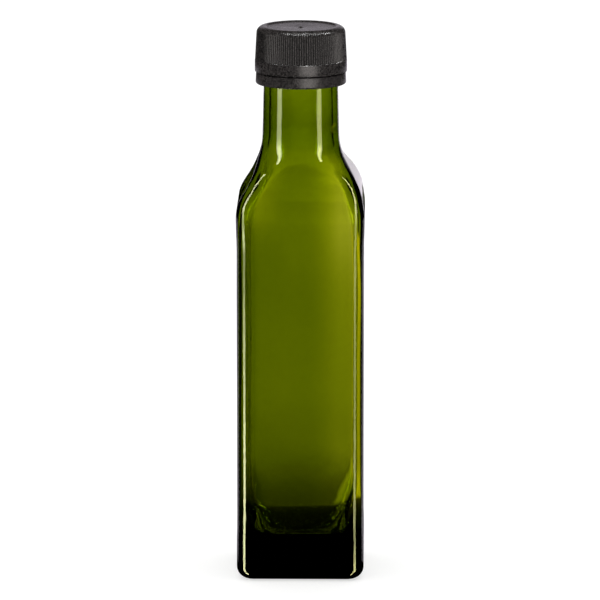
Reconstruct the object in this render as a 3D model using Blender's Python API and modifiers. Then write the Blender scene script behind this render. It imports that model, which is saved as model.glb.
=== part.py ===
"""Square glass oil bottle, empty, with its black screw cap and the cap's tamper ring.

Metres, +Z up. The origin is the centre of the base, on the surface that the bottle stands on.
The bottle's four flat sides face -Y (the front), +X, +Y and -X.
"""

import math

import bmesh
import bpy
from mathutils import Matrix, Vector

# Glass body: square in plan, a hair narrower at the label panel than above and below it
HEEL_HALF_WIDTH = 0.0235
PANEL_HALF_WIDTH = 0.0234
TOP_HALF_WIDTH = 0.0237
CORNER_RADIUS = 0.0070
HEEL_RADIUS = 0.0045
PANEL_LOW_Z = 0.0145
PANEL_FADE = 0.0050
PANEL_HIGH_Z = 0.1225
PANEL_TOP_SHARES = (0, 0.35, 0.65)

# Shoulder, from the square body to the round neck
SHOULDER_Z = 0.1325
NECK_Z = 0.1652
SHOULDER_SLOPE = math.radians(27.3)
NECK_FILLET = 0.0202
NECK_LOW_RADIUS = 0.0142
NECK_HIGH_RADIUS = 0.01355

# Finish: the plain land that the cap goes over, and the mouth
LAND_Z = 0.1879
LAND_BEVEL = 0.0006
LAND_RADIUS = 0.0149
MOUTH_Z = 0.2017
LIP_ROUND = 0.0006
BORE_RADIUS = 0.01125
BORE_ROUND = 0.0005

# Inside of the bottle
WALL = 0.0024
INNER_CORNER_RADIUS = 0.0040
INNER_SHOULDER_DROP = 0.0006
INNER_HEEL = 0.0095
INNER_HEEL_POWER = 1.5
INNER_FLOOR_Z = 0.0085
FLOOR_CORNER_RADIUS = 0.0080
FLOOR_RISE = 0.0006
FLOOR_RING_SHARES = (0.5, 0.15)

# Push-up: the shallow round hollow under the base
PUSH_UP_RADIUS = 0.0155
PUSH_UP_HEIGHT = 0.0025

# Screw cap
CAP_TOP_Z = 0.2041
CAP_BOTTOM_Z = 0.18745
CAP_UNDERSIDE_Z = 0.20205
CAP_BORE_RADIUS = 0.01525
BAND_TOP_Z = 0.1917
BAND_RADIUS = 0.01695
GRIP_LOW_RADIUS = 0.01687
GRIP_HIGH_RADIUS = 0.01634
CAP_ROUND = 0.0026
RIM_WIDTH = 0.0009
DISH_STEP = 0.0005
DISH_DEPTH = 0.0009
GATE_RADIUS = 0.0007
GATE_TOP_RADIUS = 0.0005
GATE_HEIGHT = 0.00035
EDGE_BREAK = 0.0002

# Grip: fine V-shaped grooves round the cap's skirt
GROOVE_COUNT = 120
GROOVE_DEPTH = 0.00024
GROOVE_WIDTH = 0.00056
GROOVE_LEDGE = 0.00006

# Tamper ring, below the slit that parts it from the cap
RING_BOTTOM_Z = 0.1829
RING_TOP_Z = 0.1871
RING_HIGH_RADIUS = 0.0165
RING_LOW_RADIUS = 0.01665
RING_BORE_RADIUS = 0.0140
RING_ROUND = 0.0007

# Smoothness of the curved shapes
CORNER_STEPS = 8
HEEL_STEPS = 5
CONVEX_STEPS = 7
CONCAVE_STEPS = 6
DOME_STEPS = 5
CAP_STEPS = 120
RING_STEPS = 72
ROUND_STEPS = 4

CENTRE_RING_RADIUS = 0.0016
MERGE = 0.000001
SMOOTH_ANGLE = math.radians(35)

# Looks
GLASS_COLOUR = (0.19, 0.25, 0.015, 1.0)
GLASS_ROUGHNESS = 0.0
GLASS_CLEARNESS = 1.0
GLASS_IOR = 1.52
PLASTIC_COLOUR = (0.022, 0.020, 0.020, 1.0)
PLASTIC_IOR = 1.49
CAP_ROUGHNESS = 0.42
RING_ROUGHNESS = 0.38


def clear_scene():
    for obj in list(bpy.data.objects):
        bpy.data.objects.remove(obj, do_unlink=True)


def collection(name, hidden=False):
    made = bpy.data.collections.new(name)
    bpy.context.scene.collection.children.link(made)
    made.hide_render = hidden
    return made


def material(name, colour, roughness, transmission=0.0, ior=PLASTIC_IOR):
    made = bpy.data.materials.new(name)
    made.use_nodes = True
    made.diffuse_color = colour
    shader = made.node_tree.nodes["Principled BSDF"]
    shader.inputs["Base Color"].default_value = colour
    shader.inputs["Metallic"].default_value = 0.0
    shader.inputs["Roughness"].default_value = roughness
    shader.inputs["IOR"].default_value = ior
    shader.inputs["Transmission Weight"].default_value = transmission
    return made


def smooth_step(share):
    share = min(max(share, 0.0), 1.0)
    return share * share * (3 - 2 * share)


def mix(first, second, share):
    return first + (second - first) * share


def rounded_square(half_width, corner_radius, z):
    """The points round a square with rounded corners, which is a circle where the two sizes are equal."""
    centre = half_width - corner_radius
    points = []
    for quarter in range(4):
        start = quarter * math.pi / 2
        corner = Vector((centre, centre)) if quarter == 0 else corner.orthogonal()
        for step in range(CORNER_STEPS + 1):
            angle = start + step / CORNER_STEPS * math.pi / 2
            points.append(
                Vector(
                    (
                        corner.x + corner_radius * math.cos(angle),
                        corner.y + corner_radius * math.sin(angle),
                        z,
                    )
                )
            )
    return points


def loft(name, sections):
    """One closed body through sections of (half width, corner radius, height), with both ends filled."""
    shape = bmesh.new()
    rings = []
    for half_width, corner_radius, z in sections:
        outline = rounded_square(half_width, corner_radius, z)
        rings.append([shape.verts.new(point) for point in outline])
    for below, above in zip(rings, rings[1:]):
        for index, vert in enumerate(below):
            after = (index + 1) % len(below)
            shape.faces.new((vert, below[after], above[after], above[index]))
    shape.faces.new(reversed(rings[0]))
    shape.faces.new(rings[-1])
    bmesh.ops.remove_doubles(shape, verts=shape.verts, dist=MERGE)
    bmesh.ops.recalc_face_normals(shape, faces=shape.faces)
    mesh = bpy.data.meshes.new(name)
    shape.to_mesh(mesh)
    shape.free()
    return bpy.data.objects.new(name, mesh)


def body_half_width(z):
    """Half the body's outer width above the heel, with the shallow label panel."""
    into_panel = smooth_step((z - PANEL_LOW_Z) / PANEL_FADE)
    out_of_panel = smooth_step((z - PANEL_HIGH_Z) / (SHOULDER_Z - PANEL_HIGH_Z))
    lower = mix(HEEL_HALF_WIDTH, PANEL_HALF_WIDTH, into_panel)
    return mix(lower, TOP_HALF_WIDTH, out_of_panel)


def shoulder_curve(low, high, fillet):
    """Points (half width, height) up the shoulder: a convex arc, a straight slope and a concave fillet."""
    sine, cosine = math.sin(SHOULDER_SLOPE), math.cos(SHOULDER_SLOPE)
    inward, upward = low[0] - high[0], high[1] - low[1]
    slope_length = (inward * sine - upward * (1 - cosine)) / (1 - cosine)
    convex = (upward - slope_length * cosine) / sine - fillet
    points = []
    for step in range(CONVEX_STEPS + 1):
        angle = SHOULDER_SLOPE * step / CONVEX_STEPS
        points.append(
            (low[0] - convex * (1 - math.cos(angle)), low[1] + convex * math.sin(angle))
        )
    for step in range(CONCAVE_STEPS, -1, -1):
        angle = SHOULDER_SLOPE * step / CONCAVE_STEPS
        points.append(
            (high[0] + fillet * (1 - math.cos(angle)), high[1] - fillet * math.sin(angle))
        )
    return points


def shoulder_sections(low, high, fillet, corner_radius):
    """The shoulder's sections. The corners open out until they meet as the round neck."""
    sections = []
    for half_width, z in shoulder_curve(low, high, fillet):
        share = (low[0] - half_width) / (low[0] - high[0])
        rounded = mix(corner_radius, high[0], smooth_step(share))
        sections.append((half_width, min(rounded, half_width), z))
    return sections


def base_sections():
    """Up from the middle of the push-up to the flat bearing ring, then round the heel."""
    dome_radius = (PUSH_UP_RADIUS**2 + PUSH_UP_HEIGHT**2) / (2 * PUSH_UP_HEIGHT)
    sections = []
    for step in range(DOME_STEPS + 1):
        radius = mix(CENTRE_RING_RADIUS, PUSH_UP_RADIUS, step / DOME_STEPS)
        height = PUSH_UP_HEIGHT - dome_radius + math.sqrt(dome_radius**2 - radius**2)
        sections.append((radius, radius, height))
    for step in range(HEEL_STEPS + 1):
        angle = step / HEEL_STEPS * math.pi / 2
        inset = HEEL_RADIUS * (1 - math.sin(angle))
        sections.append(
            (
                HEEL_HALF_WIDTH - inset,
                CORNER_RADIUS - inset,
                HEEL_RADIUS * (1 - math.cos(angle)),
            )
        )
    return sections


def wall_sections():
    """Up the body's outer side, from the heel to just under the shoulder."""
    heights = [PANEL_LOW_Z, PANEL_LOW_Z + PANEL_FADE / 2, PANEL_LOW_Z + PANEL_FADE]
    heights += [mix(PANEL_HIGH_Z, SHOULDER_Z, share) for share in PANEL_TOP_SHARES]
    sections = []
    for z in heights:
        half_width = body_half_width(z)
        sections.append(
            (half_width, CORNER_RADIUS + half_width - HEEL_HALF_WIDTH, z)
        )
    return sections


def mouth_sections():
    """Up the neck and the finish's land, and over the lip into the bore."""
    circles = [
        (NECK_HIGH_RADIUS, LAND_Z - LAND_BEVEL),
        (LAND_RADIUS, LAND_Z + LAND_BEVEL),
        (LAND_RADIUS, MOUTH_Z - LIP_ROUND),
        (LAND_RADIUS - LIP_ROUND, MOUTH_Z),
        (BORE_RADIUS + BORE_ROUND, MOUTH_Z),
        (BORE_RADIUS, MOUTH_Z - BORE_ROUND),
    ]
    return [(radius, radius, z) for radius, z in circles]


def inside_sections():
    """Down the bore and the inner walls, round the thick inner heel, and in over the floor.

    The inner heel leaves the wall more sharply than a circle's arc would.
    """
    low = (TOP_HALF_WIDTH - WALL, SHOULDER_Z - INNER_SHOULDER_DROP)
    high = (BORE_RADIUS, NECK_Z + INNER_SHOULDER_DROP)
    sections = list(
        reversed(shoulder_sections(low, high, NECK_FILLET, INNER_CORNER_RADIUS))
    )
    half_width = PANEL_HALF_WIDTH - WALL
    sections.append((half_width, INNER_CORNER_RADIUS, PANEL_HIGH_Z))
    for step in range(HEEL_STEPS + 1):
        angle = step / HEEL_STEPS * math.pi / 2
        share = 1 - max(math.cos(angle), 0) ** (2 / INNER_HEEL_POWER)
        drop = math.sin(angle) ** (2 / INNER_HEEL_POWER)
        sections.append(
            (
                half_width - INNER_HEEL * share,
                mix(INNER_CORNER_RADIUS, FLOOR_CORNER_RADIUS, share),
                INNER_FLOOR_Z + INNER_HEEL * (1 - drop),
            )
        )
    floor_edge = half_width - INNER_HEEL
    for share in FLOOR_RING_SHARES:
        radius = floor_edge * share
        sections.append((radius, radius, INNER_FLOOR_Z + FLOOR_RISE * (1 - share)))
    return sections


def bottle():
    """The whole glass in one piece: base, square body, shoulder, round neck and open mouth."""
    low = (TOP_HALF_WIDTH, SHOULDER_Z)
    high = (NECK_LOW_RADIUS, NECK_Z)
    top_corner = CORNER_RADIUS + TOP_HALF_WIDTH - HEEL_HALF_WIDTH
    sections = base_sections()
    sections += wall_sections()
    sections += shoulder_sections(low, high, NECK_FILLET, top_corner)
    sections += mouth_sections()
    sections += inside_sections()
    return loft("bottle", sections)


def turned(name, profile, steps):
    """A body turned round the Z axis from (radius, height) points, which run down its outer side."""
    shape = bmesh.new()
    verts = [shape.verts.new((radius, 0.0, z)) for radius, z in profile]
    for first, second in zip(verts, verts[1:]):
        shape.edges.new((first, second))
    if profile[0][0] > MERGE:
        shape.edges.new((verts[-1], verts[0]))
    mesh = bpy.data.meshes.new(name)
    shape.to_mesh(mesh)
    shape.free()
    obj = bpy.data.objects.new(name, mesh)
    screw = obj.modifiers.new("turn", "SCREW")
    screw.axis = "Z"
    screw.steps = steps
    screw.render_steps = steps
    screw.use_merge_vertices = True
    screw.merge_threshold = MERGE
    return obj


def quarter_round(centre, radius, start, end):
    """Points (radius, height) on an arc about centre, from the start to the end angle in degrees."""
    points = []
    for step in range(ROUND_STEPS + 1):
        angle = math.radians(mix(start, end, step / ROUND_STEPS))
        points.append(
            (centre[0] + radius * math.cos(angle), centre[1] + radius * math.sin(angle))
        )
    return points


def cap_profile():
    """The cap's turned shape: dished top with its gate mark, rim, skirt, plain band and bore."""
    rim_outer = GRIP_HIGH_RADIUS - CAP_ROUND
    rim_inner = rim_outer - RIM_WIDTH
    dish_edge_z = CAP_TOP_Z - DISH_STEP
    dish_z = CAP_TOP_Z - DISH_DEPTH
    profile = [
        (0.0, dish_z + GATE_HEIGHT),
        (GATE_TOP_RADIUS, dish_z + GATE_HEIGHT),
        (GATE_RADIUS, dish_z),
        (rim_inner - DISH_STEP, dish_edge_z),
        (rim_inner, CAP_TOP_Z),
    ]
    profile += quarter_round((rim_outer, CAP_TOP_Z - CAP_ROUND), CAP_ROUND, 90, 0)
    profile += [
        (GRIP_LOW_RADIUS, BAND_TOP_Z),
        (BAND_RADIUS - EDGE_BREAK / 2, BAND_TOP_Z),
        (BAND_RADIUS, BAND_TOP_Z - EDGE_BREAK),
        (BAND_RADIUS, CAP_BOTTOM_Z + EDGE_BREAK),
        (BAND_RADIUS - EDGE_BREAK, CAP_BOTTOM_Z),
        (CAP_BORE_RADIUS, CAP_BOTTOM_Z),
        (CAP_BORE_RADIUS, CAP_UNDERSIDE_Z),
        (0.0, CAP_UNDERSIDE_Z),
    ]
    return profile


def groove_cutters():
    """One thin four-sided bar for each groove, edge on to the skirt and leaning in with it."""
    low_z = BAND_TOP_Z + GROOVE_LEDGE
    high_z = CAP_TOP_Z
    length = high_z - low_z
    grip_height = CAP_TOP_Z - CAP_ROUND - BAND_TOP_Z
    draft = math.atan((GRIP_LOW_RADIUS - GRIP_HIGH_RADIUS) / grip_height)
    radius = GRIP_LOW_RADIUS - math.tan(draft) * (GROOVE_LEDGE + length / 2)
    diamond = Matrix.Rotation(math.pi / 4, 4, "Z")
    side = Matrix.Diagonal((math.sqrt(0.5), math.sqrt(0.5), length, 1))
    flatten = Matrix.Diagonal((2 * GROOVE_DEPTH, GROOVE_WIDTH, 1, 1))
    shape = bmesh.new()
    for index in range(GROOVE_COUNT):
        turn = Matrix.Rotation((index + 0.5) * math.tau / GROOVE_COUNT, 4, "Z")
        place = Matrix.Translation((radius, 0, low_z + length / 2))
        lean = Matrix.Rotation(-draft, 4, "Y")
        bmesh.ops.create_cube(
            shape, size=1.0, matrix=turn @ place @ lean @ flatten @ diamond @ side
        )
    mesh = bpy.data.meshes.new("groove_cutters")
    shape.to_mesh(mesh)
    shape.free()
    cutter = bpy.data.objects.new("groove_cutters", mesh)
    cutter.hide_render = True
    cutter.display_type = "WIRE"
    return cutter


def screw_cap(cutter):
    cap = turned("screw_cap", cap_profile(), CAP_STEPS)
    cut = cap.modifiers.new("grip", "BOOLEAN")
    cut.operation = "DIFFERENCE"
    cut.solver = "EXACT"
    cut.object = cutter
    return cap


def tamper_ring():
    """The band that stays on the neck when the cap is first unscrewed."""
    profile = [
        (RING_BORE_RADIUS, RING_TOP_Z),
        (RING_HIGH_RADIUS - EDGE_BREAK, RING_TOP_Z),
        (RING_HIGH_RADIUS, RING_TOP_Z - EDGE_BREAK),
    ]
    profile += quarter_round(
        (RING_LOW_RADIUS - RING_ROUND, RING_BOTTOM_Z + RING_ROUND), RING_ROUND, 0, -90
    )
    profile += [(RING_BORE_RADIUS, RING_BOTTOM_Z)]
    return turned("tamper_ring", profile, RING_STEPS)


def finish(obj, look, group):
    """Puts a part in its collection with its material, shaded smooth except at real edges."""
    obj.data.materials.append(look)
    group.objects.link(obj)
    obj.data.shade_smooth()
    obj.data.set_sharp_from_angle(angle=SMOOTH_ANGLE)


def main():
    clear_scene()
    parts = collection("square_glass_oil_bottle")
    cutters = collection("cutters", hidden=True)
    glass = material("bottle_glass", GLASS_COLOUR, GLASS_ROUGHNESS, GLASS_CLEARNESS, GLASS_IOR)
    cap_plastic = material("cap_plastic", PLASTIC_COLOUR, CAP_ROUGHNESS)
    ring_plastic = material("ring_plastic", PLASTIC_COLOUR, RING_ROUGHNESS)
    cutter = groove_cutters()
    cutters.objects.link(cutter)
    finish(bottle(), glass, parts)
    finish(screw_cap(cutter), cap_plastic, parts)
    finish(tamper_ring(), ring_plastic, parts)


main()
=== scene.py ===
"""The square glass oil bottle as it looks: hollow deep olive-green glass and a black ribbed screw cap.

Metres, +Z up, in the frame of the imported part. The bottle's front faces -Y, towards the camera.
"""

import math
from functools import reduce

import bpy
import numpy as np
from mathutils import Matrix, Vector, noise


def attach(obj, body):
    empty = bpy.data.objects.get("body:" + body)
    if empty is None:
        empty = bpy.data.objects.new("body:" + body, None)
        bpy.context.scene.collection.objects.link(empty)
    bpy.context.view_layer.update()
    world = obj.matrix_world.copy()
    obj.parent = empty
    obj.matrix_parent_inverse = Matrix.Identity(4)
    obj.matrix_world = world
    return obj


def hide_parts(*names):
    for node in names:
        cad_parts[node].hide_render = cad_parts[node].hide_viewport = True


# Glass: the outer shape
HEEL_HALF = 0.0235
PANEL_HALF = 0.0234
TOP_HALF = 0.0237
CORNER = 0.0064
SHOULDER_CORNER = 0.00435
CORNER_LOW_Z = 0.1340
CORNER_HIGH_Z = 0.1484
SHOULDER_TOP_CORNER = 0.0050
OPENING_LOW_Z = 0.14945
OPENING_HIGH_Z = 0.1608
SHOULDER_SHIFT = 0.00105
SHIFT_RISES = (0.139, 0.148)
SHIFT_FADES = (0.159, 0.149)
HEEL = 0.0045
PANEL_LOW_Z = 0.0145
PANEL_FADE = 0.0050
PANEL_HIGH_Z = 0.1225
SHOULDER_Z = 0.1350
NECK_Z = 0.1643
SHOULDER_SLOPE = math.radians(26.8)
NECK_FILLET = 0.0211
NECK_LOW = 0.0142
NECK_HIGH = 0.01355
LAND_Z = 0.1879
LAND_BEVEL = 0.0006
LAND = 0.0149
MOUTH_Z = 0.2017
LIP_ROUND = 0.0006
BORE = 0.0112
BORE_ROUND = 0.0005
PUSH_UP = 0.0155
PUSH_UP_HEIGHT = 0.0025

# Glass: the inside
WALL = 0.0024
INNER_CORNERS = np.array([0.0033, 0.0060, 0.0048, 0.0042])
SIDE_WALL = 0.0020
INNER_DROP = 0.0006
INNER_HEEL = 0.0095
INNER_HEEL_POWER = 1.15
INNER_FLOOR_Z = 0.0085
FLOOR_CORNER = 0.0100
FLOOR_CORNER_FADE = 0.0170
FLOOR_RISE = 0.0006
THINNER_RIGHT = 0.0006
THINNER_RIGHT_SHOULDER = 0.0005
THINNER_LEFT_SHOULDER = 0.0008

# Waves of the blown glass. Each kind has its fineness level and upright, and a shift of the noise.
WAVE_INSIDE = 0.00022
WAVE_OUTSIDE = 0.00004
WAVE_INSET = 1.7
BROAD_WAVES = (45, 22, (0.0, 0.0, 3.1))
FINE_WAVES = (110, 60, (7.0, 0.0, 0.0))
SHOULDER_RIPPLE = (160, 230, (5.0, 0.0, 0.0))
FINE_SHARE = 0.35
RIPPLE_RISES = (0.118, 0.148)
WAVES_RISE = (0.006, 0.026)
WAVES_FADE = (0.186, 0.166)

# Glass mesh
FLAT_STEPS = 22
CORNER_STEPS = 22
SHOULDER_STEPS = 14
SLOPE_STEPS = 10
DOME_STEPS = 12
HEEL_STEPS = 12
INNER_HEEL_STEPS = 18
FLOOR_STEPS = 9
WALL_RING_STEP = 0.0028

# Cap and tamper ring
CAP_TOP_Z = 0.2041
CAP_BOTTOM_Z = 0.18745
CAP_UNDERSIDE_Z = 0.20205
CAP_BORE = 0.01525
BAND_TOP_Z = 0.1917
BAND = 0.01695
GRIP_LOW = 0.01687
GRIP_HIGH = 0.01634
CAP_ROUND = 0.0026
RIM_WIDTH = 0.0009
DISH_STEP = 0.0004
DISH_DEPTH = 0.0007
DISH_HOLLOW = 0.0072
GATE = 0.0007
GATE_HEIGHT = 0.00035
EDGE_BREAK = 0.0002
RIBS = 120
RIB_DEPTH = 0.00040
RIB_POINTS = 8
RIB_CREST = 0.14
RIBS_RISE = (0.35, 0.85)
RING_BOTTOM_Z = 0.1829
RING_TOP_Z = 0.1871
RING_HIGH = 0.0165
RING_LOW = 0.01665
RING_BORE = 0.0140
RING_ROUND = 0.0007
RING_STEPS = 180
ROUND_STEPS = 10

# Materials
GLASS_IOR = 1.52
GLASS_ABSORPTION = (0.755, 0.8056, 0.0, 1.0)
GLASS_DENSITY = 1800.0
PLASTIC_IOR = 1.49
PLASTIC_TINTS = [(0.38, (0.013, 0.0115, 0.0112, 1.0)), (0.62, (0.052, 0.046, 0.044, 1.0))]
# Painted shade: the colour that darkens the cap's grooves between its ribs
GROOVE_PAINTED_SHADE = (0.004, 0.004, 0.004, 1.0)
GRAIN_SCALE = 1500.0
GRAIN_BUMP = 0.00007
PATCH_SCALE = 260.0
CAP_ROUGHNESS = 0.25
RING_ROUGHNESS = 0.28
ROUGHNESS_SPREAD = 0.06

# The camera that the photograph was taken with, as far as its perspective tells
CAMERA_BACK = 1.85
CAMERA_TURN = math.radians(0.87)
CAMERA_LEFT = 0.00035
CAMERA_UP = 0.4754
AIM_Z = 0.1015
LENS_MM = 305.8
SENSOR_MM = 36.0

# Studio: its tints, and how bright the floor is through the glass by how far off it is, with painted shadow
# close to the bottle
WARM_STUDIO = (1.0, 0.874, 1.0)
BACKDROP_TINT = (1.0, 0.93, 1.03)
BETWEEN_LIGHTS = 0.02
FLOOR_HALF = 14.0
FLOOR_BELOW = 0.0001
FLOOR_GLOW = 0.62
# Painted shadow: the floor through the glass is dark close to the bottle and brighter further off
FLOOR_SHADE_STOPS = [(0.035, 0.02), (0.10, 0.17), (0.22, 0.60), (0.32, 0.71)]
FLOOR_SHADE_STOPS += [(0.48, 0.74), (0.74, 0.86), (0.9, 1.04), (1.0, 1.25)]
# Painted warm light on the floor behind the bottle on the right, as the glass shows it
PAINTED_WARM_LIGHT = (3.2, 2.4, 1.0, 1.0)
WHITE = (1.0, 1.0, 1.0, 1.0)
BLACK = (0.0, 0.0, 0.0, 1.0)

# Studio lights. The strips and the rib light have stops of (height, brightness).
SOFTBOX_AWAY = 1.1
STRIP_HEIGHTS = (-2.2, 2.4)
LEFT_STRIP = [(-0.30, 15.0), (-0.21, 16.0), (-0.15, 9.5), (-0.09, 4.0)]
LEFT_STRIP += [(0.0, 6.0), (0.12, 8.5), (0.4, 14.0)]
RIGHT_STRIP = [(-0.30, 12.0), (-0.22, 6.0), (-0.15, 4.0), (-0.09, 5.0)]
RIGHT_STRIP += [(0.0, 7.0), (0.12, 8.0), (0.4, 15.0)]
RIB_LIGHT_HEIGHTS = (-0.3, 0.5)
RIB_LIGHT = [(-0.3, 3.1), (0.5, 3.1)]
KEY_AZIMUTH = 24
KEY_LIFT = math.radians(54)
KEY_AWAY = 1.5
KEY_AIM_Z = 0.2
KEY_SIZE = 0.18
KEY_WATTS = 30.0


def mix(first, second, share):
    return first + (second - first) * share


def smooth_step(share):
    share = min(max(share, 0.0), 1.0)
    return share * share * (3 - 2 * share)


def ease(value, start, end):
    """How far the value has come from start to end, from 0 to 1, with both ends eased."""
    return smooth_step((value - start) / (end - start))


def arc(centre, radius, start, end, steps):
    """Points (r, z) on an arc about centre, the angles in degrees."""
    angles = [math.radians(mix(start, end, step / steps)) for step in range(steps + 1)]
    return [(centre[0] + radius * math.cos(a), centre[1] + radius * math.sin(a)) for a in angles]


def body_angles():
    """Where the points stand round a section, as angles from its middle, close together at the corners."""
    centre = PANEL_HALF - CORNER
    angles = []
    for side in range(4):
        turn = side * math.pi / 2
        for step in range(FLAT_STEPS):
            angles.append(turn + math.atan2(mix(-centre, centre, step / FLAT_STEPS), PANEL_HALF))
        for step in range(CORNER_STEPS):
            phi = step / CORNER_STEPS * math.pi / 2
            x = centre + CORNER * math.cos(phi)
            y = centre + CORNER * math.sin(phi)
            angles.append(turn + math.atan2(y, x))
    return np.array(angles)


def even_angles():
    """The same number of points, evenly spaced, for the round neck."""
    count = 4 * (FLAT_STEPS + CORNER_STEPS)
    return (np.arange(count) - FLAT_STEPS / 2) / count * math.tau


BODY_ANGLES = body_angles()
EVEN_ANGLES = even_angles()


def turned_ring(out, angles, z):
    """One level ring of points, this far out from the axis."""
    return np.stack([out * np.cos(angles), out * np.sin(angles), np.full(len(angles), z)], axis=1)


def section(half, corner, z):
    """One ring of points: a square with rounded corners, which is a circle where half and corner are equal.

    Half is half the width. Corner is one radius, or four: right back, left back, left front, right front.
    """
    angles = mix(BODY_ANGLES, EVEN_ANGLES, ease(np.mean(corner) / half, 0.35, 1.0))
    quarter = (angles % math.tau // (math.pi / 2)).astype(int) % 4
    corner = np.broadcast_to(corner, 4)[quarter]
    fold = np.abs((angles + math.pi / 4) % (math.pi / 2) - math.pi / 4)
    centre = half - corner
    flat = half / np.cos(fold)
    reach = centre * (np.cos(fold) + np.sin(fold))
    bulge = reach + np.sqrt(np.maximum(corner**2 - centre**2 * (1 - np.sin(2 * fold)), 0))
    return turned_ring(np.where(half * np.tan(fold) <= centre, flat, bulge), angles, z)


def body_half(z):
    """Half the body's outer width above the heel, with the shallow label panel."""
    lower = mix(HEEL_HALF, PANEL_HALF, ease(z, PANEL_LOW_Z, PANEL_LOW_Z + PANEL_FADE))
    return mix(lower, TOP_HALF, ease(z, PANEL_HIGH_Z, SHOULDER_Z))


def body_corner(z):
    """The radius of the body's outer corners, which tighten as they run into the shoulder."""
    corner = mix(CORNER, SHOULDER_CORNER, ease(z, CORNER_LOW_Z, CORNER_HIGH_Z))
    return mix(corner, SHOULDER_TOP_CORNER, ease(z, CORNER_HIGH_Z, OPENING_LOW_Z))


def shoulder_sections(low, high, corner_at):
    """Sections up the shoulder: an arc, a straight slope and a fillet in the middle of each side."""
    sine, cosine = math.sin(SHOULDER_SLOPE), math.cos(SHOULDER_SLOPE)
    inward, upward = low[0] - high[0], high[1] - low[1]
    slope_length = (inward * sine - upward * (1 - cosine)) / (1 - cosine)
    convex = (upward - slope_length * cosine) / sine - NECK_FILLET
    curve = []
    for step in range(SHOULDER_STEPS + 1):
        angle = SHOULDER_SLOPE * step / SHOULDER_STEPS
        curve.append((low[0] - convex * (1 - math.cos(angle)), low[1] + convex * math.sin(angle)))
    edge = curve[-1]
    for step in range(1, SLOPE_STEPS):
        along = slope_length * step / SLOPE_STEPS
        curve.append((edge[0] - along * sine, edge[1] + along * cosine))
    for step in range(SHOULDER_STEPS, -1, -1):
        angle = SHOULDER_SLOPE * step / SHOULDER_STEPS
        inset = NECK_FILLET * (1 - math.cos(angle))
        curve.append((high[0] + inset, high[1] - NECK_FILLET * math.sin(angle)))
    found = []
    for half, z in curve:
        found.append((half, mix(corner_at(z), half, ease(z, OPENING_LOW_Z, OPENING_HIGH_Z)), z))
    return found


def rings_between(low, high):
    """Heights from low to high, about a wall ring's step apart, without the two ends."""
    count = max(2, round((high - low) / WALL_RING_STEP))
    return [mix(low, high, step / count) for step in range(1, count)]


def outer_sections():
    """Sections (half width, corner radius, height) over the outside, from the push-up to the mouth."""
    dome = (PUSH_UP**2 + PUSH_UP_HEIGHT**2) / (2 * PUSH_UP_HEIGHT)
    found = []
    for step in range(1, DOME_STEPS + 1):
        radius = PUSH_UP * step / DOME_STEPS
        found.append((radius, radius, PUSH_UP_HEIGHT - dome + math.sqrt(dome**2 - radius**2)))
    for step in range(HEEL_STEPS + 1):
        angle = step / HEEL_STEPS * math.pi / 2
        inset = HEEL * (1 - math.sin(angle))
        found.append((HEEL_HALF - inset, CORNER - inset, HEEL * (1 - math.cos(angle))))
    for z in rings_between(HEEL, SHOULDER_Z):
        found.append((body_half(z), CORNER, z))
    found += shoulder_sections((TOP_HALF, SHOULDER_Z), (NECK_LOW, NECK_Z), body_corner)
    neck_end = LAND_Z - LAND_BEVEL
    for z in rings_between(NECK_Z, neck_end):
        radius = mix(NECK_LOW, NECK_HIGH, (z - NECK_Z) / (neck_end - NECK_Z))
        found.append((radius, radius, z))
    circles = [(NECK_HIGH, neck_end), (LAND, LAND_Z + LAND_BEVEL)]
    circles += arc((LAND - LIP_ROUND, MOUTH_Z - LIP_ROUND), LIP_ROUND, 0, 90, 4)
    circles += arc((BORE + BORE_ROUND, MOUTH_Z - BORE_ROUND), BORE_ROUND, 90, 180, 4)
    return found + [(radius, radius, z) for radius, z in circles]


def inner_sections():
    """Sections down the inside, from the bore to the middle of the floor."""
    low = (TOP_HALF - WALL, SHOULDER_Z - INNER_DROP)
    high = (BORE, NECK_Z + INNER_DROP)
    found = [(BORE, BORE, z) for z in reversed(rings_between(high[1], MOUTH_Z - BORE_ROUND))]
    found += reversed(shoulder_sections(low, high, lambda z: INNER_CORNERS))
    half = PANEL_HALF - WALL
    heel_top = INNER_FLOOR_Z + INNER_HEEL
    for z in reversed(rings_between(heel_top, low[1])):
        corner = mix(FLOOR_CORNER, INNER_CORNERS, ease(z, heel_top, heel_top + FLOOR_CORNER_FADE))
        found.append((body_half(z) - WALL, corner, z))
    for step in range(INNER_HEEL_STEPS + 1):
        angle = step / INNER_HEEL_STEPS * math.pi / 2
        share = 1 - max(math.cos(angle), 0) ** (2 / INNER_HEEL_POWER)
        drop = math.sin(angle) ** (2 / INNER_HEEL_POWER)
        z = INNER_FLOOR_Z + INNER_HEEL * (1 - drop)
        found.append((half - INNER_HEEL * share, FLOOR_CORNER, z))
    floor_edge = half - INNER_HEEL
    for step in range(FLOOR_STEPS - 1, 0, -1):
        share = step / FLOOR_STEPS
        radius = floor_edge * share
        found.append((radius, radius, INNER_FLOOR_Z + FLOOR_RISE * (1 - share**2)))
    return found


def mesh_object(name, points, faces):
    mesh = bpy.data.meshes.new(name)
    mesh.from_pydata(points, [], faces)
    mesh.validate()
    mesh.shade_smooth()
    obj = bpy.data.objects.new(name, mesh)
    bpy.context.scene.collection.objects.link(obj)
    return obj


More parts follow.
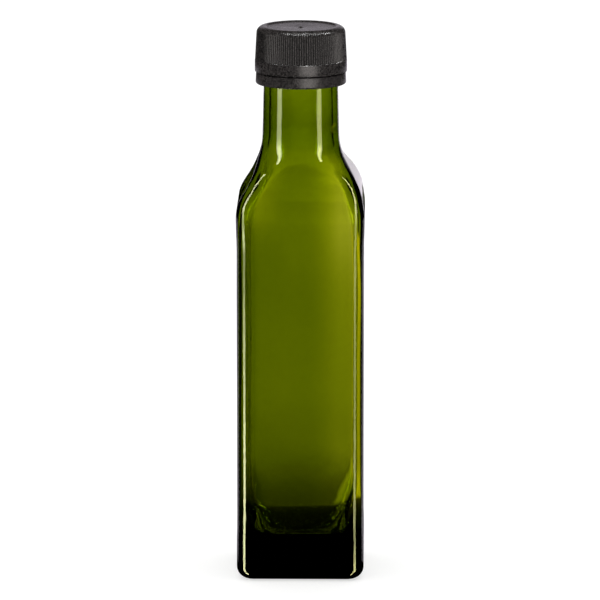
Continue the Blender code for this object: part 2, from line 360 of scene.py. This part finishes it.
def skinned(name, rings, first_pole=None, last_pole=None):
    """A closed skin through rings of equally many points, with a pole at each end or its ends joined."""
    count = len(rings[0])
    points = [tuple(p) for ring in rings for p in ring]
    faces = []
    loops = list(zip(range(len(rings) - 1), range(1, len(rings))))
    if first_pole is None:
        loops.append((len(rings) - 1, 0))
    for low, high in loops:
        for index in range(count):
            after = (index + 1) % count
            a, b = low * count, high * count
            faces.append((a + index, a + after, b + after, b + index))
    if first_pole is not None:
        points.append(first_pole)
        pole = len(points) - 1
        faces += [(pole, (index + 1) % count, index) for index in range(count)]
        points.append(last_pole)
        pole = len(points) - 1
        start = (len(rings) - 1) * count
        faces += [(pole, start + index, start + (index + 1) % count) for index in range(count)]
    return mesh_object(name, points, faces)


def waves_at(point, waves):
    level, upright, shift = waves
    return noise.noise(Vector((point.x * level, point.y * level, point.z * upright)) + Vector(shift))


def glass_wave(point, inside):
    """How far the glass's skin strays along its normal: long soft waves, stronger inside than outside."""
    wave = waves_at(point, BROAD_WAVES) + FINE_SHARE * waves_at(point, FINE_WAVES)
    if inside:
        return wave * WAVE_INSIDE
    ripple = FINE_SHARE * waves_at(point, SHOULDER_RIPPLE) * ease(point.z, *RIPPLE_RISES)
    return (wave + ripple - WAVE_INSET) * WAVE_OUTSIDE


def thin_wall(point):
    """How far the inside moves outwards in X and Y, to thin the sides and the right of the front and back.

    Under the shoulder the front and back are thinner towards both sides.
    """
    x, y, z = point
    upright = ease(z, 0.016, 0.028)
    aside = (WALL - SIDE_WALL) * x / (PANEL_HALF - WALL) * upright * ease(z, 0.150, 0.120)
    right = THINNER_RIGHT + THINNER_RIGHT_SHOULDER * ease(z, 0.100, 0.130)
    left = THINNER_LEFT_SHOULDER * ease(z, 0.120, 0.140)
    thinner = right * ease(x, 0.001, 0.015) + left * ease(x, -0.003, -0.017)
    on_wall = ease(abs(y), 0.010, 0.018) * upright * ease(z, 0.166, 0.152)
    return aside, math.copysign(thinner * on_wall, y)


def bottle():
    outer = [section(*values) for values in outer_sections()]
    inner = [section(*values) for values in inner_sections()]
    low = (0.0, 0.0, PUSH_UP_HEIGHT)
    high = (0.0, 0.0, INNER_FLOOR_Z + FLOOR_RISE)
    obj = skinned("bottle_glass_skin", outer + inner, low, high)
    mesh = obj.data
    first_inside = len(outer) * len(outer[0])
    normals = [vert.normal.copy() for vert in mesh.vertices]
    for index, vert in enumerate(mesh.vertices):
        inside = index >= first_inside
        z = vert.co.z
        fade = ease(z, *WAVES_RISE) * ease(z, *WAVES_FADE)
        if fade > 0:
            vert.co += normals[index] * glass_wave(vert.co, inside) * fade
        vert.co.x += SHOULDER_SHIFT * ease(z, *SHIFT_RISES) * ease(z, *SHIFT_FADES)
        if inside:
            aside, forth = thin_wall(vert.co)
            vert.co.x += aside
            vert.co.y += forth
    mesh.update()
    return obj


def cap_profile():
    """(radius, height, rib depth) down the cap's outside and back up its bore."""
    rim_outer = GRIP_HIGH - CAP_ROUND
    rim_inner = rim_outer - RIM_WIDTH
    dish_z = CAP_TOP_Z - DISH_DEPTH
    edge_z = CAP_TOP_Z - DISH_STEP
    gate_edge = GATE * 1.6
    plain = [(GATE * 0.55, dish_z + GATE_HEIGHT), (GATE * 0.85, dish_z + GATE_HEIGHT * 0.8)]
    plain += [(GATE, dish_z), (gate_edge, dish_z)]
    for step in range(1, 9):
        radius = mix(gate_edge, rim_inner - DISH_STEP * 1.6, step / 8)
        plain.append((radius, mix(dish_z, edge_z, smooth_step(radius / DISH_HOLLOW))))
    plain += arc((rim_inner - DISH_STEP * 1.2, edge_z + DISH_STEP * 0.5), DISH_STEP * 0.5, -90, -20, 4)
    plain += arc((rim_inner + EDGE_BREAK, CAP_TOP_Z - EDGE_BREAK), EDGE_BREAK, 160, 90, 3)
    found = [(r, z, 0.0) for r, z in plain]
    centre = (rim_outer, CAP_TOP_Z - CAP_ROUND)
    for step, (r, z) in enumerate(arc(centre, CAP_ROUND, 90, 0, ROUND_STEPS)):
        found.append((r, z, RIB_DEPTH * ease(step / ROUND_STEPS, *RIBS_RISE)))
    top_z = CAP_TOP_Z - CAP_ROUND
    for share in (0.25, 0.5, 0.75, 0.97, 1.0):
        found.append((mix(GRIP_HIGH, GRIP_LOW, share), mix(top_z, BAND_TOP_Z, share), RIB_DEPTH))
    rest = [(BAND - EDGE_BREAK * 0.5, BAND_TOP_Z - EDGE_BREAK * 0.1)]
    rest += [(BAND - EDGE_BREAK * 0.15, BAND_TOP_Z - EDGE_BREAK * 0.4)]
    rest += [(BAND, BAND_TOP_Z - EDGE_BREAK), (BAND, mix(BAND_TOP_Z, CAP_BOTTOM_Z, 0.5))]
    rest += arc((BAND - EDGE_BREAK, CAP_BOTTOM_Z + EDGE_BREAK), EDGE_BREAK, 0, -90, 3)
    rest += [(CAP_BORE, CAP_BOTTOM_Z), (CAP_BORE, mix(CAP_BOTTOM_Z, CAP_UNDERSIDE_Z, 0.5))]
    rest += [(CAP_BORE, CAP_UNDERSIDE_Z), (CAP_BORE * 0.5, CAP_UNDERSIDE_Z)]
    return found + [(r, z, 0.0) for r, z in rest]


def rib_shape():
    """How far into a groove each point round the cap lies: 0 on a rib's crest, 1 at a groove's bottom."""
    count = RIBS * RIB_POINTS
    phase = (np.arange(count) / RIB_POINTS + 0.5) % 1.0 - 0.5
    return np.clip((np.abs(phase) - RIB_CREST) / (0.5 - RIB_CREST), 0, 1)


def screw_cap():
    groove = rib_shape()
    angles = np.arange(len(groove)) / len(groove) * math.tau
    rings = [turned_ring(radius - depth * groove, angles, z) for radius, z, depth in cap_profile()]
    rings.reverse()
    low = (0.0, 0.0, CAP_UNDERSIDE_Z)
    high = (0.0, 0.0, CAP_TOP_Z - DISH_DEPTH + GATE_HEIGHT)
    return skinned("ribbed_screw_cap", rings, low, high)


def tamper_ring():
    half_break = EDGE_BREAK / 2
    profile = [(RING_BORE, RING_TOP_Z - half_break), (RING_BORE + half_break, RING_TOP_Z)]
    profile += arc((RING_HIGH - EDGE_BREAK, RING_TOP_Z - EDGE_BREAK), EDGE_BREAK, 90, 0, 3)
    profile += arc((RING_LOW - RING_ROUND, RING_BOTTOM_Z + RING_ROUND), RING_ROUND, 0, -90, 6)
    profile += [(RING_BORE + EDGE_BREAK, RING_BOTTOM_Z), (RING_BORE, RING_BOTTOM_Z + EDGE_BREAK)]
    profile.reverse()
    angles = np.arange(RING_STEPS) / RING_STEPS * math.tau
    return skinned("plain_tamper_ring", [turned_ring(radius, angles, z) for radius, z in profile])


class Graph:
    """The nodes of one material, light or world. A value is another node's output or a constant."""

    def __init__(self, tree):
        self.nodes = tree.nodes
        self.links = tree.links

    def put(self, value, socket):
        if isinstance(value, bpy.types.NodeSocket):
            self.links.new(value, socket)
        else:
            socket.default_value = value

    def fill(self, node, values):
        """Puts each value on the node's input of that name."""
        for name, value in values.items():
            self.put(value, node.inputs[name])
        return node

    def add(self, kind, values):
        return self.fill(self.nodes.new(kind), values)

    def operate(self, kind, operation, values):
        """A new node of one operation, with the values on its inputs in turn."""
        made = self.nodes.new(kind)
        made.operation = operation
        for socket, value in zip(made.inputs, values):
            self.put(value, socket)
        return made

    def maths(self, operation, *values):
        return self.operate("ShaderNodeMath", operation, values).outputs["Value"]

    def product(self, *values):
        return reduce(lambda first, second: self.maths("MULTIPLY", first, second), values)

    def greatest(self, *values):
        return reduce(lambda first, second: self.maths("MAXIMUM", first, second), values)

    def vector(self, operation, *values):
        return self.operate("ShaderNodeVectorMath", operation, values).outputs["Vector"]

    def length(self, vector):
        return self.operate("ShaderNodeVectorMath", "LENGTH", [vector]).outputs["Value"]

    def tinted(self, colour, *tints):
        return reduce(lambda first, second: self.vector("MULTIPLY", first, second), tints, colour)

    def split(self, vector):
        made = self.add("ShaderNodeSeparateXYZ", {"Vector": vector})
        return made.outputs["X"], made.outputs["Y"], made.outputs["Z"]

    def in_plan(self, direction):
        """The X and Y of a direction as seen in plan."""
        level = self.vector("MULTIPLY", direction, (1.0, 1.0, 0.0))
        return self.split(self.vector("NORMALIZE", level))[:2]

    def ease(self, value, start, end, low=0.0, high=1.0):
        """From low to high as the value goes from start to end, with both ends eased."""
        ends = {"From Min": start, "From Max": end, "To Min": low, "To Max": high}
        made = self.add("ShaderNodeMapRange", {"Value": value, **ends})
        made.interpolation_type = "SMOOTHSTEP"
        return made.outputs["Result"]

    def ramp(self, value, stops):
        """A soft grey ramp through (position, brightness) stops."""
        made = self.add("ShaderNodeValToRGB", {"Fac": value})
        made.color_ramp.interpolation = "EASE"
        elements = made.color_ramp.elements
        while len(elements) < len(stops):
            elements.new(0.5)
        for element, (position, bright) in zip(elements, stops):
            element.position = position
            element.color = (bright, bright, bright, 1.0)
        return made.outputs["Color"]

    def blend(self, share, first, second):
        """The first colour where the share is 0 and the second where it is 1."""
        made = self.nodes.new("ShaderNodeMix")
        made.data_type = "RGBA"
        inputs = {socket.identifier: socket for socket in made.inputs}
        for name, value in (("Factor_Float", share), ("A_Color", first), ("B_Color", second)):
            self.put(value, inputs[name])
        return next(socket for socket in made.outputs if socket.identifier == "Result_Color")

    def noise(self, place, scale, detail):
        values = {"Vector": place, "Scale": scale, "Detail": detail}
        return self.add("ShaderNodeTexNoise", values).outputs["Fac"]

    def bump(self, height, strength, distance):
        values = {"Height": height, "Strength": strength, "Distance": distance}
        return self.add("ShaderNodeBump", values).outputs["Normal"]

    def coordinates(self, kind):
        return self.nodes.new("ShaderNodeTexCoord").outputs[kind]


def new_material(name):
    made = bpy.data.materials.new(name)
    made.use_nodes = True
    return made, Graph(made.node_tree)


def glass_material():
    """Clear glass that takes its green from its depth, with the faint long waves of a blown surface."""
    made, graph = new_material("olive_green_glass")
    wave = graph.noise(graph.coordinates("Object"), 90.0, 2.0)
    surface = {"Base Color": WHITE, "Roughness": 0.0, "IOR": GLASS_IOR, "Transmission Weight": 1.0}
    graph.fill(graph.nodes["Principled BSDF"], {**surface, "Normal": graph.bump(wave, 0.25, 0.0004)})
    depth = graph.add("ShaderNodeVolumeAbsorption", {"Color": GLASS_ABSORPTION, "Density": GLASS_DENSITY})
    graph.fill(graph.nodes["Material Output"], {"Volume": depth.outputs["Volume"]})
    return made


def groove_shade_mask(graph, place):
    """How far into a groove between two of the cap's ribs a point lies, from 0 to 1, which sets where shade
    is painted into the grooves.
    """
    x, y, z = graph.split(place)
    phase = graph.maths("ADD", graph.product(graph.maths("ARCTAN2", y, x), RIBS / math.tau), 0.5)
    off_crest = graph.maths("ABSOLUTE", graph.maths("SUBTRACT", graph.maths("FRACT", phase), 0.5))
    above_band = graph.ease(z, BAND_TOP_Z, BAND_TOP_Z + EDGE_BREAK)
    below_round = graph.ease(z, CAP_TOP_Z - 0.0012, CAP_TOP_Z - CAP_ROUND)
    return graph.product(graph.ease(off_crest, 0.12, 0.34), above_band, below_round)


def plastic_material(name, roughness, ribbed):
    """Moulded black plastic with a fine satin grain, duller patches, and painted shade in the grooves
    between its ribs.
    """
    made, graph = new_material(name)
    place = graph.coordinates("Object")
    grain = graph.noise(place, GRAIN_SCALE, 2.0)
    patches = graph.noise(place, PATCH_SCALE, 4.0)
    tint = graph.add("ShaderNodeValToRGB", {"Fac": grain})
    for element, (position, shade) in zip(tint.color_ramp.elements, PLASTIC_TINTS):
        element.position = position
        element.color = shade
    colour = tint.outputs["Color"]
    if ribbed:
        # Painted shade: the grooves between the ribs are darkened in the colour itself
        colour = graph.blend(groove_shade_mask(graph, place), colour, GROOVE_PAINTED_SHADE)
    ends = {"To Min": roughness - ROUGHNESS_SPREAD, "To Max": roughness + ROUGHNESS_SPREAD}
    spread = graph.add("ShaderNodeMapRange", {"Value": patches, **ends})
    surface = {"Base Color": colour, "Roughness": spread.outputs["Result"], "IOR": PLASTIC_IOR}
    graph.fill(graph.nodes["Principled BSDF"], {**surface, "Normal": graph.bump(grain, 1.0, GRAIN_BUMP)})
    return made


def studio_through_glass(graph, direction):
    """How bright the studio is through clear glass: pale behind each flat side and dark between."""
    x, y = graph.in_plan(direction)
    back = graph.ease(y, 0.643, 0.731)
    front = graph.ease(y, -0.77, -0.88)
    sides = graph.ease(graph.maths("ABSOLUTE", x), 0.93, 0.975)
    return graph.greatest(back, front, sides, BETWEEN_LIGHTS)


def floor_through_glass(graph, place):
    """The floor's colour through the glass, painted: painted shadow close to the bottle, painted warm light
    behind it on the right, and a painted bright gleam near it on the right.
    """
    x, y = graph.in_plan(place)
    reach = graph.length(place)
    behind = graph.ease(y, 0.77, 0.87)
    behind_right = graph.product(graph.ease(x, 0.0, 0.1), graph.ease(y, -0.3, 0.0))
    sides = graph.ease(graph.maths("ABSOLUTE", x), 0.95, 0.98)
    front = graph.ease(y, -0.77, -0.88)
    near = graph.greatest(behind, behind_right, sides, front, BETWEEN_LIGHTS)
    # Painted warm light: the floor turns warm behind the bottle on the right
    near = graph.blend(graph.product(behind_right, graph.ease(x, 0.36, 0.44)), near, PAINTED_WARM_LIGHT)
    seen = graph.blend(graph.ease(reach, 0.68, 0.80), near, studio_through_glass(graph, place))
    # Painted highlight: a bright patch on the floor near the bottle on the right, seen only through the
    # glass
    painted_gleam = graph.product(
        graph.ease(x, 0.06, 0.24), graph.ease(reach, 0.23, 0.16), graph.ease(reach, 0.060, 0.085, 0.0, 0.85)
    )
    bright = graph.greatest(graph.ramp(reach, FLOOR_SHADE_STOPS), painted_gleam)
    return graph.tinted(seen, bright, WARM_STUDIO)


def floor():
    """A plain pale floor. What the glass shows of it is painted light and shade, with painted shadow
    darkening it close to the bottle.
    """
    corners = [(-1, -1), (1, -1), (1, 1), (-1, 1)]
    corners = [(x * FLOOR_HALF, y * FLOOR_HALF, 0.0) for x, y in corners]
    obj = mesh_object("studio_floor", corners, [(0, 1, 2, 3)])
    made, graph = new_material("pale_floor")
    paint = {"Base Color": (0.5, 0.5, 0.5, 1.0), "Roughness": 0.9, "Specular IOR Level": 0.0}
    glow = {"Emission Color": WHITE, "Emission Strength": FLOOR_GLOW}
    shader = graph.fill(graph.nodes["Principled BSDF"], {**paint, **glow})
    # Seen through the glass the floor is not lit by the lamps but glows in painted light and painted shadow
    colour = floor_through_glass(graph, graph.coordinates("Object"))
    seen = graph.add("ShaderNodeEmission", {"Color": colour})
    both = graph.nodes.new("ShaderNodeMixShader")
    path = graph.nodes.new("ShaderNodeLightPath")
    parts = (path.outputs["Is Transmission Ray"], shader.outputs["BSDF"], seen.outputs["Emission"])
    for socket, value in zip(both.inputs, parts):
        graph.put(value, socket)
    graph.fill(graph.nodes["Material Output"], {"Surface": both.outputs["Shader"]})
    obj.data.materials.append(made)
    obj.location.z = -FLOOR_BELOW
    obj.visible_glossy = False


def hang(data, place, target):
    """Hangs a light at a place, turned to the target and seen only in gloss and glass."""
    obj = bpy.data.objects.new(data.name, data)
    obj.location = place
    obj.rotation_euler = (target - place).to_track_quat("-Z", "Y").to_euler()
    obj.visible_camera = False
    obj.visible_diffuse = False
    bpy.context.scene.collection.objects.link(obj)
    return obj


def away(azimuth, distance, z):
    """A place as seen from the bottle: azimuth 0 is towards the camera and 90 to the right."""
    turn = math.radians(azimuth)
    return Vector((distance * math.sin(turn), -distance * math.cos(turn), z))


def softbox(name, azimuth, size, heights, colour, stops):
    """An upright soft light that faces the bottle, fading out at its long edges.

    The stops are (height, how bright it looks there), the heights in metres.
    """
    low_z, high_z = heights
    glow = max(bright for _, bright in stops)
    data = bpy.data.lights.new(name, "AREA")
    data.shape = "RECTANGLE"
    data.size = size
    data.size_y = high_z - low_z
    data.energy = glow * math.pi * data.size * data.size_y
    data.color = colour
    data.use_nodes = True
    graph = Graph(data.node_tree)
    x, y, _ = graph.split(graph.nodes.new("ShaderNodeNewGeometry").outputs["Parametric"])
    shares = [((z - low_z) / (high_z - low_z), bright / glow) for z, bright in stops]
    off_centre = graph.maths("ABSOLUTE", graph.maths("SUBTRACT", x, 0.5))
    strength = graph.product(graph.ramp(y, shares), graph.ease(off_centre, 0.5, 0.25))
    graph.fill(graph.nodes["Emission"], {"Strength": strength})
    middle = (low_z + high_z) / 2
    return hang(data, away(azimuth, SOFTBOX_AWAY, middle), Vector((0.0, 0.0, middle)))


def key_light():
    """A soft light high in front on the right, which catches the cap's edges."""
    data = bpy.data.lights.new("key", "AREA")
    data.shape = "SQUARE"
    data.size = KEY_SIZE
    data.energy = KEY_WATTS
    place = away(KEY_AZIMUTH, KEY_AWAY * math.cos(KEY_LIFT), KEY_AIM_Z + KEY_AWAY * math.sin(KEY_LIFT))
    return hang(data, place, Vector((0.0, 0.0, KEY_AIM_Z)))


def light_only(light, name, pieces):
    """Lets a light reach these pieces alone."""
    chosen = bpy.data.collections.new(name)
    for piece in pieces:
        chosen.objects.link(piece)
    light.light_linking.receiver_collection = chosen


def top_light():
    data = bpy.data.lights.new("overhead", "SUN")
    data.energy = 3.2
    data.angle = math.radians(120)
    obj = bpy.data.objects.new("overhead", data)
    obj.location = (0.0, 0.0, 2.0)
    obj.visible_glossy = False
    obj.visible_transmission = False
    bpy.context.scene.collection.objects.link(obj)


def backdrop_in_gloss(graph, direction):
    """How bright polished surfaces see the studio: bright low behind the bottle, and dark on both sides."""
    x, y = graph.in_plan(direction)
    height = graph.split(direction)[2]
    behind = graph.blend(graph.ease(x, -0.03, 0.03), graph.ease(y, 0.93, 0.97), graph.ease(y, 0.85, 0.97))
    behind = graph.product(behind, graph.ease(height, 0.55, 0.15))
    wide = graph.product(
        graph.ease(y, 0.52, 0.62), graph.ease(height, -0.15, -0.18), graph.ease(y, 0.98, 0.94, 0.0, 0.5)
    )
    shade = graph.product(
        graph.ease(x, -0.27, -0.22), graph.ease(x, -0.01, -0.06), graph.ease(height, 0.10, 0.02)
    )
    straight = graph.product(graph.ease(y, 0.9965, 0.9985), graph.ease(height, 0.0, -0.08))
    lit = graph.maths("SUBTRACT", 1.0, graph.greatest(shade, straight))
    above = graph.ease(height, 0.02, 0.12, 1.0, 0.47)
    below = graph.ease(height, -0.255, -0.240)
    return graph.product(graph.greatest(behind, wide), above, lit, below)


def studio_world():
    """Pale to the camera, with a view of its own for polished surfaces and one through the glass."""
    world = bpy.data.worlds.new("studio")
    bpy.context.scene.world = world
    world.use_nodes = True
    graph = Graph(world.node_tree)
    direction = graph.coordinates("Generated")
    y = graph.in_plan(direction)[1]
    height = graph.split(direction)[2]
    mirrored = graph.tinted(backdrop_in_gloss(graph, direction), BACKDROP_TINT)
    through = graph.tinted(studio_through_glass(graph, direction), WARM_STUDIO)
    high_in_front = graph.product(graph.ease(y, 0.0, -0.3), graph.ease(height, 0.12, 0.30))
    through = graph.blend(high_in_front, through, BLACK)
    path = graph.nodes.new("ShaderNodeLightPath")
    seen = graph.blend(path.outputs["Is Transmission Ray"], mirrored, through)
    seen = graph.blend(path.outputs["Is Camera Ray"], seen, WHITE)
    graph.fill(graph.nodes["Background"], {"Color": seen})


def studio(glass, plastics):
    floor()
    top_light()
    light_only(key_light(), "key_lights_plastic", plastics)
    left = softbox("strip_left", -67.7, 0.42, STRIP_HEIGHTS, (1.0, 1.02, 0.55), LEFT_STRIP)
    right = softbox("strip_right", 58, 0.38, STRIP_HEIGHTS, (1.0, 1.0, 0.42), RIGHT_STRIP)
    rib_light = softbox("rib_light", 20, 1.1, RIB_LIGHT_HEIGHTS, (1.0, 0.94, 0.90), RIB_LIGHT)
    light_only(left, "left_strip_lights_glass", [glass])
    light_only(right, "right_strip_lights_glass", [glass])
    light_only(rib_light, "rib_light_on_plastic", plastics)
    studio_world()


def camera():
    data = bpy.data.cameras.new("camera")
    data.lens = LENS_MM
    data.sensor_width = SENSOR_MM
    data.clip_end = 100.0
    obj = bpy.data.objects.new("camera", data)
    across = CAMERA_BACK * math.sin(CAMERA_TURN) - CAMERA_LEFT
    obj.location = (across, -CAMERA_BACK * math.cos(CAMERA_TURN), CAMERA_UP)
    aim = Vector((-CAMERA_LEFT, 0.0, AIM_Z)) - obj.location
    obj.rotation_euler = aim.to_track_quat("-Z", "Y").to_euler()
    bpy.context.scene.collection.objects.link(obj)
    bpy.context.scene.camera = obj
    bpy.context.scene.view_settings.view_transform = "Standard"


def dress(obj, material, node):
    """Puts the material on a piece, which rides on the part and stands for its CAD node."""
    obj.data.materials.append(material)
    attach(obj, "root")
    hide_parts(node)


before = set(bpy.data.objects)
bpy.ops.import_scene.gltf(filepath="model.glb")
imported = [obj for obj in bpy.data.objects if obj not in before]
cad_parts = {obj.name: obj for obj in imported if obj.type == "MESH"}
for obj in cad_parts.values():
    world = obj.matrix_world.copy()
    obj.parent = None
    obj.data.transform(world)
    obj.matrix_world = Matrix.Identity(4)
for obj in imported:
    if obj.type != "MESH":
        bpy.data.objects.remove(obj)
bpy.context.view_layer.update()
camera()
glass, cap, ring = bottle(), screw_cap(), tamper_ring()
dress(glass, glass_material(), "bottle")
dress(cap, plastic_material("black_cap_plastic", CAP_ROUGHNESS, True), "screw_cap")
dress(ring, plastic_material("black_ring_plastic", RING_ROUGHNESS, False), "tamper_ring")
studio(glass, [cap, ring])
